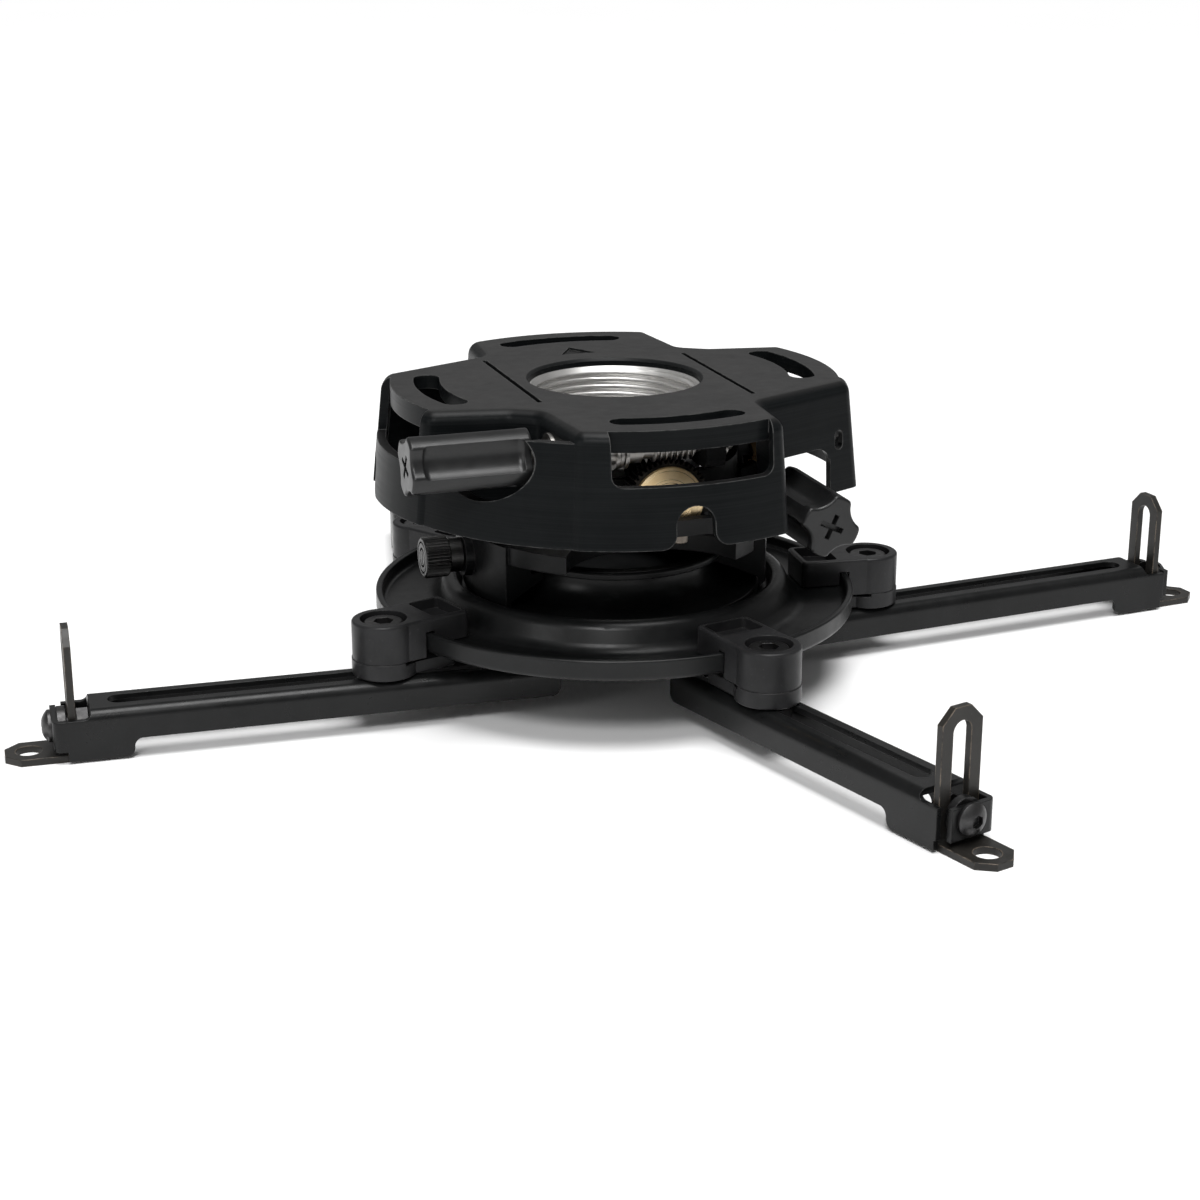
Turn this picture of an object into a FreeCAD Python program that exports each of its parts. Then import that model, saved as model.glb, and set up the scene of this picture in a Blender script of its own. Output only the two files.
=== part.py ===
import FreeCAD, Part
import math
import os

# Ceiling projector mount: a fixed upper bracket on a threaded pipe, a roll stage and
# a pitch stage each turned by a knob and worm, a quick-release disc, and four slotted
# arms with height-adjustable legs. Millimetres, +Z up, origin at the centre of the
# pipe hole on the top face. -Y is the front.

V = FreeCAD.Vector
X, Y, Z = V(1, 0, 0), V(0, 1, 0), V(0, 0, 1)
O = V(0, 0, 0)

# ---- driving dimensions -------------------------------------------------------------
# upper bracket
PLATE_T = 4.0            # top plate thickness
BAND_Z = -6.0            # lower edge of the plate's turned rim seen in the windows
EDGE_R = 65.0            # plate edge radius inside the windows
SKIRT_R = 67.5           # outer radius of the skirt at the top
TAB_X = 27.0             # right-hand corner of the front tab
WIN_Z = -14.6            # lower edge of the front window
SKIRT_FLARE = 1.05       # widening of the skirt at its lower edge
SKIRT_T = 2.6            # skirt wall
SKIRT_Z = -31.5          # lower edge of the skirt
BEND_R = 4.0             # bend between plate and skirt
PIPE_R = 25.0            # hole in the plate
THREAD_R = 23.2          # mean radius of the pipe thread
COUPLER_R = 27.5
COUPLER_Z = -24.0
SLOT_R, SLOT_HALF_DEG, SLOT_W = 54.5, 16.6, 7.5

# worm drives (both alike)
MODULE = 0.5
TEETH = 48
PITCH = math.pi * MODULE
WHEEL_R = MODULE * TEETH / 2.0
WORM_R = 4.0
CENTRE = WHEEL_R + WORM_R
ROLL_Z = -26.0           # roll axis, parallel to Y
WORM1_Y = -43.0
WORM1_Z = ROLL_Z + CENTRE
PITCH_Z = -16.8          # pitch axis, parallel to X
WORM2_X = 43.0
WORM2_Z = PITCH_Z - CENTRE
PIN_R = 4.0              # roll pins
PIN2_R = 3.5             # pitch pins
RUN = 0.05               # running clearance on a radius

# knobs
KNOB_R, KNOB1_L, KNOB2_L = 8.8, 33.4, 35.0
KNOB1_X = -73.4          # outer end of the roll knob
KNOB2_Y = -60.0          # outer end of the pitch knob

# cradle
CR_TOP, CR_R, CR_RI = -42.0, 45.0, 35.0
CR_A0, CR_SWEEP = -28.0, 236.0
THUMB_Z = -49.2

# adapter disc
DISC_R = 70.9
LIP_TOP, DISC_FLOOR, DISC_BOT = -62.3, -66.3, -68.3

# clamps, arms, legs
BOSS_R = 79.5            # radius of the clamp bosses round the disc's axis
BLOCK_R = 56.4           # inner end of the clamp blocks
CLAMP_TOP, CLAMP_BOT, JAW_BOT = -58.2, -69.3, -74.1
ARM_TOP, ARM_H, ARM_W, ARM_T = -74.4, 8.8, 17.0, 1.6
ARM_END_Z = -88.3
LEG_TOP, LEG_BOT, LEG_W, LEG_T = -52.2, -89.0, 13.2, 2.0
LEG_SCREW_Z = -80.4
END_TOP, END_BOT = -76.8, -85.4   # upper and lower edge of the arm's end flange
FOOT_L, FOOT_HOLE_S, FOOT_HOLE_R = 17.2, 10.8, 3.6
END_S = 4.4              # outer face of the arm's end flange beyond the leg
# name: clamp angle, foot of the leg's outer face (x, y), arm length inside the boss
ARMS = {
    "left": (197.0, (-163.6, -19.3), 48.8),
    "front": (-77.3, (38.0, -150.6), 33.4),
    "right": (-5.8, (183.4, 1.5), 32.0),
    "rear": (122.0, (-24.0, 150.0), 32.0),
}

os.makedirs("parts", exist_ok=True)


# ---- helpers ------------------------------------------------------------------------
def box(x0, x1, y0, y1, z0, z1):
    return Part.makeBox(x1 - x0, y1 - y0, z1 - z0, V(x0, y0, z0))


def cyl(r, p, d, h):
    return Part.makeCylinder(r, h, p, d)


def fuse(shapes):
    s = shapes[0].multiFuse(shapes[1:]) if len(shapes) > 1 else shapes[0]
    return s.removeSplitter()


def cut(a, tools):
    return a.cut(tools) if isinstance(tools, list) else a.cut([tools])


def pol(r, deg, z=0.0):
    a = math.radians(deg)
    return V(r * math.cos(a), r * math.sin(a), z)


def turned(s, deg):
    c = s.copy()
    c.rotate(O, Z, deg)
    return c


def wedge(a0, a1, r, z0, z1):
    # prism between two angles, as a fan of triangles wide enough to pass radius r
    n = max(2, int((a1 - a0) / 30) + 1)
    pts = [V(0, 0, z0)]
    rr = r / math.cos(math.radians((a1 - a0) / n / 2.0))
    for i in range(n + 1):
        pts.append(pol(rr, a0 + (a1 - a0) * i / n, z0))
    pts.append(pts[0])
    return Part.Face(Part.makePolygon(pts)).extrude(V(0, 0, z1 - z0))


def ring(r0, r1, z0, z1):
    return cyl(r1, V(0, 0, z0), Z, z1 - z0).cut(cyl(r0, V(0, 0, z0 - 1), Z, z1 - z0 + 2))


def arc_ring(r0, r1, z0, z1, a0, a1):
    return ring(r0, r1, z0, z1).common(wedge(a0, a1, r1 + 5, z0 - 1, z1 + 1))


def prism(pts2, plane, lo, hi):
    # closed polygon in a coordinate plane, extruded along the third axis
    if plane == "xz":
        p = [V(a, lo, b) for a, b in pts2]
        d = V(0, hi - lo, 0)
    elif plane == "yz":
        p = [V(lo, a, b) for a, b in pts2]
        d = V(hi - lo, 0, 0)
    else:
        p = [V(a, b, lo) for a, b in pts2]
        d = V(0, 0, hi - lo)
    return Part.Face(Part.makePolygon(p + [p[0]])).extrude(d)


def rounded_path(pts):
    # open path in the XZ half-plane from (r, z, corner radius), as line and arc edges
    P = [(V(a, 0, b), c) for a, b, c in pts]
    edges = []
    last = P[0][0]
    for i in range(1, len(P) - 1):
        p, rad = P[i]
        u = (P[i - 1][0] - p).normalize()
        w = (P[i + 1][0] - p).normalize()
        ang = math.acos(max(-1.0, min(1.0, u.dot(w))))
        if rad < 1e-6 or abs(math.pi - ang) < 1e-3:
            edges.append(Part.LineSegment(last, p).toShape())
            last = p
            continue
        t = rad / math.tan(ang / 2.0)
        a, b = p + u * t, p + w * t
        m = (u + w).normalize()
        c = p + m * (rad / math.sin(ang / 2.0))
        mid = c - m * rad
        if (a - last).Length > 1e-6:
            edges.append(Part.LineSegment(last, a).toShape())
        edges.append(Part.Arc(a, mid, b).toShape())
        last = b
    edges.append(Part.LineSegment(last, P[-1][0]).toShape())
    return edges


def fillet(s, r, test):
    es = [e for e in s.Edges if test(e)]
    return s.makeFillet(r, es) if es else s


def vertical(e):
    t = e.tangentAt(e.FirstParameter)
    return abs(abs(t.z) - 1) < 1e-4 and e.Length > 0.5


def at_z(e, z, tol=1e-3):
    b = e.BoundBox
    return abs(b.ZMin - z) < tol and abs(b.ZMax - z) < tol


def hexagon(af, z0, z1):
    r = af / math.sqrt(3.0)
    return prism([(r * math.cos(math.radians(60 * i)), r * math.sin(math.radians(60 * i))) for i in range(6)], "xy", z0, z1)


def group(solids):
    return Part.makeCompound(solids)


def save(name, shape):
    shape.exportStep("parts/%s.step" % name)


# ---- upper bracket ------------------------------------------------------------------
def outline_wire():
    # outer wall line seen from above; the second half is the first turned by 180 degrees
    a_f = math.degrees(math.asin(31.5 / SKIRT_R))
    p0 = pol(SKIRT_R, -90 - a_f)
    p1 = pol(SKIRT_R, -90 + math.degrees(math.asin(TAB_X / SKIRT_R)))
    p2 = V(28.9, -41.4, 0)
    p3 = pol(SKIRT_R, -23.5)
    p4 = pol(SKIRT_R, 22.5)
    p5 = V(40.5, 30.0, 0)
    p6 = V(33.6, 34.4, 0)

    def half(k):
        f = (lambda v: v) if k == 0 else (lambda v: V(-v.x, -v.y, 0))
        q0, q1, q2, q3, q4, q5, q6 = [f(v) for v in (p0, p1, p2, p3, p4, p5, p6)]
        q7 = f(V(-p0.x, -p0.y, 0))
        return [
            Part.Arc(q0, f(V(0, -SKIRT_R, 0)), q1).toShape(),
            Part.LineSegment(q1, q2).toShape(),
            Part.LineSegment(q2, q3).toShape(),
            Part.Arc(q3, f(pol(SKIRT_R, -0.5)), q4).toShape(),
            Part.LineSegment(q4, q5).toShape(),
            Part.LineSegment(q5, q6).toShape(),
            Part.LineSegment(q6, q7).toShape(),
        ]

    w = Part.Wire(half(0) + half(1))
    pr = Part.Face(w).extrude(V(0, 0, 5))
    pr = fillet(pr, 3.8, lambda e: vertical(e))
    top = max(pr.Faces, key=lambda f: f.CenterOfMass.z)
    ow = top.OuterWire
    ow.translate(V(0, 0, -5))
    return ow


def at_height(w, z, k):
    m = FreeCAD.Matrix()
    m.scale(k, k, 1.0)
    c = w.transformGeometry(m)
    c.translate(V(0, 0, z))
    return c


def make_bracket():
    w = outline_wire()
    outer = Part.makeLoft([at_height(w, SKIRT_Z, SKIRT_FLARE), at_height(w, 0, 1.0)], True, True)
    outer = outer.makeFillet(BEND_R, [e for e in outer.Edges if at_z(e, 0.0)])
    wi = w.makeOffset2D(-SKIRT_T)
    k1 = 1.0 + (SKIRT_FLARE - 1.0) * (-PLATE_T / SKIRT_Z)
    k2 = 1.0 + (SKIRT_FLARE - 1.0) * ((SKIRT_Z - 2.0) / SKIRT_Z)
    inner = Part.makeLoft([at_height(wi, SKIRT_Z - 2.0, k2), at_height(wi, -PLATE_T, k1)], True, True)
    s = outer.cut(inner)

    # lower ring that carries the skirt past the knob notch, and its opposite copy
    def cone(r_top, z0, z1):
        f = lambda z: r_top * (1.0 + (SKIRT_FLARE - 1.0) * z / SKIRT_Z)
        return Part.makeCone(f(z0), f(z1), z1 - z0, V(0, 0, z0), Z)

    rg = cone(66.8, SKIRT_Z, -3.2).cut(cone(64.2, SKIRT_Z - 1, -2.0))
    rg = rg.common(wedge(-161.5, -116.0, 80, -40, 2))
    rg = rg.cut(box(-80, -50, -44, -10, -15.8, 2))
    rg_back = turned(rg, 180).cut(box(-90, 90, -90, 90, -15.8, 2))
    adds = [rg, rg_back]
    # turned rim of the plate in each window
    for a0, a1 in ((-112, -68), (154, 201)):
        b = arc_ring(62.0, EDGE_R, BAND_Z, -PLATE_T + 0.5, a0, a1)
        adds += [b, turned(b, 180)]
    # small stiffening bead on the lower ring
    bead = cyl(1.3, pol(67.6, -146.5, -30.5), Z, 9.0)
    adds += [bead, turned(bead, 180)]
    s = fuse([s] + adds)

    cuts = []
    # front and back windows: open from the plate's rim down, rim left at EDGE_R
    win = box(-23, 23, -80, -50, WIN_Z, 3)
    win = fillet(win, 3.0, lambda e: at_z(e, WIN_Z) and abs(e.tangentAt(e.FirstParameter).y) > 0.99)
    w_up = win.common(box(-40, 40, -90, -40, BAND_Z, 4)).cut(cyl(EDGE_R, V(0, 0, -20), Z, 30))
    w_lo = win.common(box(-40, 40, -90, -40, -20, BAND_Z))
    # ear windows on the left and right
    e_up = arc_ring(EDGE_R, 80, BAND_Z, 3, 161.5, 199.5)
    e_lo = arc_ring(58, 80, -15.8, BAND_Z, 161.5, 199.5)
    # round-topped notches in the walls, with a rounded, flared mouth
    def notch_at(xc, deg):
        zc, nr, mr = -25.6, 5.5, 4.2
        zm = SKIRT_Z + mr
        n = fuse([cyl(nr, V(xc, -82, zc), Y, 27), box(xc - nr, xc + nr, -82, -55, -36, zc),
                  box(xc - nr - mr, xc + nr + mr, -82, -55, -36, zm).cut(
                      [cyl(mr, V(xc - nr - mr, -83, zm), Y, 30), cyl(mr, V(xc + nr + mr, -83, zm), Y, 30)])])
        return turned(n, deg)

    notch = notch_at(-1.0, 0)
    # arch in the flat wall beside the right ear, where the pitch knob comes through
    arch = box(31.6, 54.6, -52, -18, -40, -17.8)
    arch = fillet(arch, 5.0, lambda e: at_z(e, -17.8) and abs(e.tangentAt(e.FirstParameter).y) > 0.99)
    hole = fuse([cyl(1.5, V(58.0, -36, -16.4 + k), Y, 16) for k in (-1.3, 1.3)] + [box(56.5, 59.5, -36, -20, -17.7, -15.1)])
    # way for the roll knob through the lower ring and for its shaft through the tab wall
    u_cut = cyl(11.0, V(-80, WORM1_Y, WORM1_Z), X, 43.0)
    u_cut = u_cut.fuse(box(-80, -44.0, WORM1_Y - 9.4, WORM1_Y + 11, WORM1_Z, 0 + 3).common(
        ring(62.5, 80, -12, 4)))
    shaft = cyl(6.0, V(-37, WORM1_Y, WORM1_Z), X, 12)
    # notch beside the corner post of the left ear
    post = notch_at(0.0, 258.5)
    for c in (w_up, w_lo, e_up, e_lo, notch, post):
        cuts += [c, turned(c, 180)]
    cuts += [arch, hole, u_cut, shaft]

    # pipe hole with chamfer
    cuts.append(cyl(PIPE_R, V(0, 0, -20), Z, 30))
    cuts.append(Part.makeCone(PIPE_R - 0.2, PIPE_R + 0.8, 1.0, V(0, 0, -1.0), Z).fuse(cyl(PIPE_R + 0.8, O, Z, 3)))
    # four arc slots for ceiling bolts
    for a in (0, 90, 180, 270):
        sl = arc_ring(SLOT_R - SLOT_W / 2, SLOT_R + SLOT_W / 2, -8, 4, a - SLOT_HALF_DEG, a + SLOT_HALF_DEG)
        ends = [cyl(SLOT_W / 2, pol(SLOT_R, a + k * SLOT_HALF_DEG, -8), Z, 12) for k in (-1, 1)]
        cuts.append(fuse([sl] + ends))
    # two long grooves and the triangular direction mark
    gr = box(-30.7, -29.3, -24, 33, -1.4, 2)
    cuts += [gr, turned(gr, 180)]
    cuts.append(prism([(-5.6, 33.2), (5.6, 33.2), (0, 42.8)], "xy", -0.8, 2))
    s = s.cut(cuts)
    s = max(s.Solids, key=lambda q: q.Volume)
    return s


bracket = make_bracket()
save("upper_bracket", bracket)

# ---- fixed pieces under the plate ---------------------------------------------------
coupler = fuse([ring(THREAD_R, COUPLER_R, COUPLER_Z, -PLATE_T), ring(THREAD_R, PIPE_R - 0.03, -PLATE_T - 0.01, -2.2)])
save("pipe_coupler", coupler)


def hanger(sgn):
    y0, y1 = sorted((sgn * 28.4, sgn * 32.5))
    h = fuse([box(-9, 9, y0, y1, -14, -PLATE_T), prism([(-9, -14), (9, -14), (5, ROLL_Z), (-5, ROLL_Z)], "xz", y0, y1),
              cyl(5.2, V(0, y0, ROLL_Z), Y, y1 - y0)])
    return h.cut(cyl(PIN_R + 0.02, V(0, y0 - 1, ROLL_Z), Y, 8))


save("roll_hangers", group([hanger(-1), hanger(1)]))
pin_f = cyl(PIN_R, V(0, -43.0, ROLL_Z), Y, 14.4)
pin_b = cyl(PIN_R, V(0, 28.6, ROLL_Z), Y, 9.4)
save("roll_pins", group([pin_f.makeChamfer(0.5, [e for e in pin_f.Edges if e.BoundBox.YLength < 1e-6]),
                         pin_b.makeChamfer(0.5, [e for e in pin_b.Edges if e.BoundBox.YLength < 1e-6])]))

JR = 2.6                 # thin end of each worm
block = box(9.6, 15.4, WORM1_Y - 6.5, WORM1_Y + 6.5, WORM1_Z - 6.2, -PLATE_T)
block = fillet(block, 3.0, lambda e: at_z(e, WORM1_Z - 6.2) and abs(e.tangentAt(e.FirstParameter).x) > 0.99)
block = block.cut(cyl(JR + RUN, V(5, WORM1_Y, WORM1_Z), X, 20))
save("roll_worm_bearing", block)

bush = fuse([cyl(5.97, V(-34.0, WORM1_Y, WORM1_Z), X, 6.0), cyl(5.8, V(-29.0, WORM1_Y, WORM1_Z), X, 2.5)])
bush = bush.cut(cyl(4.2 + RUN, V(-40, WORM1_Y, WORM1_Z), X, 20))
save("roll_worm_bush", bush)


# ---- worms, wheels, knobs -----------------------------------------------------------
def worm_local(z_end, z_lo, z_far):
    # shaft along +Z: thick journal from z_lo, thread about z = 0, thin end to z_far;
    # on the local +X side the thread crosses z = PITCH / 2 and every pitch from there
    half = 4.0 * PITCH
    core = fuse([cyl(4.2, V(0, 0, z_lo), Z, -half - 1.6 - z_lo), cyl(3.4, V(0, 0, -half - 1.61), Z, 2 * half + 3.2),
                 cyl(JR, V(0, 0, half + 1.5), Z, z_far - half - 1.5)])
    hx = Part.makeHelix(PITCH, 8 * PITCH, WORM_R)
    prof = Part.makePolygon([V(3.2, 0, -0.43), V(4.45, 0, -0.115), V(4.45, 0, 0.115), V(3.2, 0, 0.43), V(3.2, 0, -0.43)])
    th = Part.Wire(hx).makePipeShell([prof], True, True)
    th.translate(V(0, 0, -half + PITCH / 2.0))
    s = core.fuse(th)
    return s


w_roll = worm_local(0, -63.0, 19.0)
if len(w_roll.Solids) != 1:
    raise RuntimeError("worm is not one solid")
w_roll.rotate(O, Y, 90)                       # +Z to +X, local +X to -Z
w_roll.translate(V(0, WORM1_Y, WORM1_Z))
save("roll_worm", w_roll)

w_pit = worm_local(0, -50.0, 18.5)
w_pit.rotate(O, Z, -90)                       # local +X to -Y
w_pit.rotate(O, X, -90)                       # +Z to +Y, -Y to +Z
w_pit.translate(V(WORM2_X, 0, WORM2_Z))
save("pitch_worm", w_pit)


def gear(width):
    # spur wheel along +Z from 0 to width, one tooth centred on local +X
    pts = []
    for k in range(TEETH):
        a = 2 * math.pi * k / TEETH
        for r, h in ((11.35, -0.43), (12.4, -0.19), (12.4, 0.19), (11.35, 0.43)):
            b = a + h / r
            pts.append((r * math.cos(b), r * math.sin(b)))
    return prism(pts, "xy", 0, width)


# brass wheel of the roll stage: toothed rim, plain raised face to the front, flat below
g1 = gear(5.0)
g1.rotate(O, X, 90)                           # +Z to -Y; local +X stays
g1.rotate(O, Y, -90)                          # tooth to +Z
g1.translate(V(0, -40.5, ROLL_Z))
g1 = fuse([g1, cyl(10.3, V(0, -46.2, ROLL_Z), Y, 2.0).cut(box(6.6, 20, -47, -45.5, -45, ROLL_Z))])
g1 = g1.cut([cyl(PIN_R + RUN, V(0, -43.4, ROLL_Z), Y, 10), box(-20, 20, -50, -35, -45, -32.6)])
save("roll_worm_wheel", g1)

# brass sector of the pitch stage
g2 = gear(5.0)
g2.rotate(O, Y, 90)                           # +Z to +X, local +X to -Z
g2.translate(V(40.4, 0, PITCH_Z))
sec = prism([(0, PITCH_Z), (-20 * math.sin(math.radians(52)), PITCH_Z - 20 * math.cos(math.radians(52))), (0, PITCH_Z - 30),
             (20 * math.sin(math.radians(52)), PITCH_Z - 20 * math.cos(math.radians(52)))], "yz", 40, 46)
g2 = fuse([g2.common(sec), cyl(6.0, V(40.4, 0, PITCH_Z), X, 5.0)])
SEC_SCREW = [(8.6 * math.sin(math.radians(a)), PITCH_Z - 8.6 * math.cos(math.radians(a))) for a in (-24, 24)]
g2 = g2.cut([cyl(PIN2_R + RUN, V(35, 0, PITCH_Z), X, 15)] + [cyl(1.3, V(35, y, z), X, 15) for y, z in SEC_SCREW])
save("pitch_worm_wheel", g2)


def pan_screw(r_head, h_head, r, length, af):
    # pan-head screw along -Z from its seat at z = 0, with hex recess
    h = cyl(r_head, O, Z, h_head)
    h = h.makeFillet(min(0.8, h_head * 0.4), [e for e in h.Edges if at_z(e, h_head)])
    h = h.cut(hexagon(af, h_head * 0.45, h_head + 1))
    return fuse([h, cyl(r, V(0, 0, -length), Z, length + 0.01)])


ss = []
for y, z in SEC_SCREW:
    q = pan_screw(2.0, 1.6, 1.25, 6.6, 1.6)
    q.rotate(O, Y, 90)
    q.translate(V(45.4, y, z))
    ss.append(q)
save("sector_screws", group(ss))


def knob_local(length):
    # four-lobed grip along +Z from its outer end at z = 0, with a deeper round-ended flute between each two lobes
    s = cyl(KNOB_R, O, Z, length)
    way = [V(math.cos(math.radians(90 * i + 45)), math.sin(math.radians(90 * i + 45)), 0) for i in range(4)]
    s = s.cut([cyl(6.8, d * 13.4 + V(0, 0, -1), Z, length + 2) for d in way])
    s = fillet(s, 1.4, lambda e: vertical(e))
    s = fillet(s, 0.9, lambda e: at_z(e, 0.0) or at_z(e, length))
    for d in way:
        f = cyl(6.4, d * 12.1 + V(0, 0, 2.8), Z, length - 4.6)
        s = s.cut(f.makeFillet(2.2, [e for e in f.Edges if at_z(e, 2.8) or at_z(e, length - 1.8)]))
    s = s.cut(cyl(4.2 + 0.02, V(0, 0, 10.0), Z, length))
    return s.cut([box(-3.6, 3.6, -0.75, 0.75, -1, 2.2), box(-0.75, 0.75, -3.6, 3.6, -1, 2.2)])


k1 = knob_local(KNOB1_L)
k1.rotate(O, Y, 90)
k1.translate(V(KNOB1_X, WORM1_Y, WORM1_Z))
k1.rotate(V(0, WORM1_Y, WORM1_Z), X, 27.0)
save("roll_knob", k1)
k2 = knob_local(KNOB2_L)
k2.rotate(O, Z, 25.0)
k2.rotate(O, X, -90)
k2.translate(V(WORM2_X, KNOB2_Y, WORM2_Z))
save("pitch_knob", k2)


def washers(r_in, specs):
    return [ring(r_in, r, z0, z1) for r, z0, z1 in specs]


wr = washers(4.22, [(5.6, -13.2, -12.2), (5.2, -14.5, -13.5), (5.6, -15.8, -14.8)])
for q in wr:
    q.rotate(O, Y, 90)
    q.translate(V(0, WORM1_Y, WORM1_Z))
save("roll_thrust_washers", group(wr))
wp = washers(4.22, [(5.4, -17.5, -16.6), (5.0, -18.8, -17.8), (5.4, -20.1, -19.1)])
for q in wp:
    q.rotate(O, X, -90)
    q.translate(V(WORM2_X, 0, WORM2_Z))
save("pitch_thrust_washers", group(wp))


def clip(z0):
    c = ring(JR + 0.02, 4.4, z0, z0 + 0.8)
    return c.cut(box(0, 6, -1.7, 1.7, z0 - 1, z0 + 2))


c1 = clip(16.2)
c1.rotate(O, Y, 90)
c1.translate(V(0, WORM1_Y, WORM1_Z))
save("roll_worm_clip", c1)
c2 = clip(16.6)
c2.rotate(O, X, -90)
c2.translate(V(WORM2_X, 0, WORM2_Z))
save("pitch_worm_clip", c2)

# ---- gimbal: ring round the coupler, pinned front and back, carrying the pitch pins ----
gz0, gz1 = -31.0, -21.0
gim = [ring(32.8, 36.0, gz0, gz1)]
gim.append(fuse([box(-9, 9, -40.4, -33.5, gz0, gz1), cyl(7.0, V(0, -40.4, ROLL_Z), Y, 6.9)]))
gim.append(fuse([box(-9, 9, 33.5, 38.2, gz0, gz1), cyl(7.0, V(0, 33.5, ROLL_Z), Y, 4.7)]))
for sg in (-1, 1):
    x0, x1 = sorted((sg * 33.0, sg * 35.9))
    gim.append(fuse([prism([(-8, gz0), (8, gz0), (8, gz1), (4.6, PITCH_Z), (-4.6, PITCH_Z), (-8, gz1)], "yz", x0, x1),
                     cyl(4.6, V(x0, 0, PITCH_Z), X, x1 - x0)]))
for y0, y1 in ((-16.2, -12.4), (12.4, 16.2)):
    lug = fuse([prism([(33.6, -26.5), (33.6, gz0), (38.5, -36.8), (WORM2_X, -36.8), (WORM2_X, WORM2_Z + 5.4), (38.5, -25.0)], "xz", y0, y1),
                cyl(5.0, V(WORM2_X, y0, WORM2_Z), Y, y1 - y0)])
    gim.append(lug)
g = fuse(gim)
g = g.cut([box(-14, 14, -33.0, 33.0, gz0 - 12, gz1 + 12),
           cyl(PIN_R + RUN, V(0, -50, ROLL_Z), Y, 100),
           cyl(PIN2_R + 0.02, V(-50, 0, PITCH_Z), X, 100),
           cyl(32.8, V(0, 0, gz0 - 12), Z, 40),
           cyl(4.2 + RUN, V(WORM2_X, -30, WORM2_Z), Y, 30),
           cyl(JR + RUN, V(WORM2_X, 0, WORM2_Z), Y, 30)])
g = max(g.Solids, key=lambda q: q.Volume)
KS = [(-8.5, -44.0), (4.0, -44.0)]
save("gimbal_ring", g)

keeper = fuse([box(-14, 12, -49.8, -46.3, -34.6, -30.0), box(-14, 14, -46.31, -38.5, -34.6, -32.7),
               box(-14, 14, -40.2, -38.5, -34.6, gz0 - 0.02)])
keeper = keeper.cut([cyl(1.55, V(x, y, -40), Z, 10) for x, y in KS] + [cyl(7.05, V(0, -41, ROLL_Z), Y, 10)])
save("wheel_keeper", keeper)
ks = []
for x, y in KS:
    hd = cyl(2.3, V(x, y, -38.0), Z, 3.38)
    hd = hd.makeChamfer(0.35, [e for e in hd.Edges if at_z(e, -38.0)])
    hd = hd.cut(cyl(1.1, V(x, y, -39), Z, 2.2))
    ks.append(fuse([hd, cyl(1.5, V(x, y, -34.7), Z, 1.95)]))
save("keeper_screws", group(ks))

pp = []
for x0, h in ((-40.6, 7.8), (32.9, 11.7)):
    p = cyl(PIN2_R, V(x0, 0, PITCH_Z), X, h)
    pp.append(p.makeChamfer(0.4, [e for e in p.Edges if e.BoundBox.XLength < 1e-6]))
save("pitch_pins", group(pp))

# ---- cradle: C-shaped collar open to the front, two ears up to the pitch pins ---------
prof = [(CR_RI, CR_TOP), (CR_R, CR_TOP), (CR_R, -60.0), (43.9, -61.2), (42.9, -61.2), (42.9, -58.8), (36.0, -56.4),
        (30.0, -54.6), (30.0, -52.2), (CR_RI, -52.2)]
pf = Part.Face(Part.makePolygon([V(a, 0, b) for a, b in prof + [prof[0]]]))
pf.rotate(O, Z, CR_A0)
collar = pf.revolve(O, Z, CR_SWEEP)
# top plate with a round throat, so that a horn reaches forward on each side
topd = ring(15.0, 44.0, CR_TOP - 5.2, CR_TOP).cut([cyl(27.0, V(-1.5, -46.0, -60), Z, 30), box(-60, 60, -60, -37, -60, -30),
                                                      box(32.2, 60, -60, -19.5, -60, -30)])
ears = []
for sg in (-1, 1):
    x0, x1 = sorted((sg * 36.3, sg * 40.4))
    e = fuse([prism([(-9, CR_TOP - 3), (9, CR_TOP - 3), (5.0, PITCH_Z), (-5.0, PITCH_Z)], "yz", x0, x1),
              cyl(5.0, V(x0, 0, PITCH_Z), X, x1 - x0)])
    # thinner where the ear passes the worm
    y0, y1 = sorted((sg * 38.1, sg * 42.0))
    ears.append(e.cut(box(y0, y1, -20, 20, -39.6, -25.4)))
tb = cyl(6.4, V(-47.2, 0, THUMB_Z), X, 8.0)
cradle = fuse([collar, topd, tb] + ears)
cradle = cradle.cut([
                     cyl(3.0 + RUN, V(-60, 0, THUMB_Z), X, 30),
                     cyl(PIN2_R + RUN, V(-50, 0, PITCH_Z), X, 100)] +
                    [cyl(1.3, V(35, y, z), X, 7) for y, z in SEC_SCREW])
cradle = max(cradle.Solids, key=lambda q: q.Volume)
save("cradle", cradle)

# thumb screw with a knurled head and a smooth collar
kn = []
N = 40
for i in range(N):
    for r, k in ((5.6, 0.0), (6.1, 0.5)):
        a = 2 * math.pi * (i + k) / N
        kn.append((r * math.cos(a), r * math.sin(a)))
head = prism(kn, "xy", 0, 7.4)
ch = Part.makeCone(5.5, 6.2, 0.7, O, Z).fuse(cyl(6.2, V(0, 0, 0.7), Z, 6.0)).fuse(Part.makeCone(6.2, 5.5, 0.7, V(0, 0, 6.7), Z))
head = head.common(ch)
head = head.cut([ring(2.3, 2.9, -1, 0.5), ring(4.2, 4.7, -1, 0.4), box(-1.9, 1.9, -0.35, 0.35, -1, 0.8)])
ts = fuse([head, cyl(5.0, V(0, 0, 7.3), Z, 3.9), cyl(4.4, V(0, 0, 11.1), Z, 0.2), cyl(3.0, V(0, 0, 11.2), Z, 12.8)])
ts.rotate(O, Y, 90)
ts.translate(V(-58.7, 0, THUMB_Z))
save("thumb_screw", ts)

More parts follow.
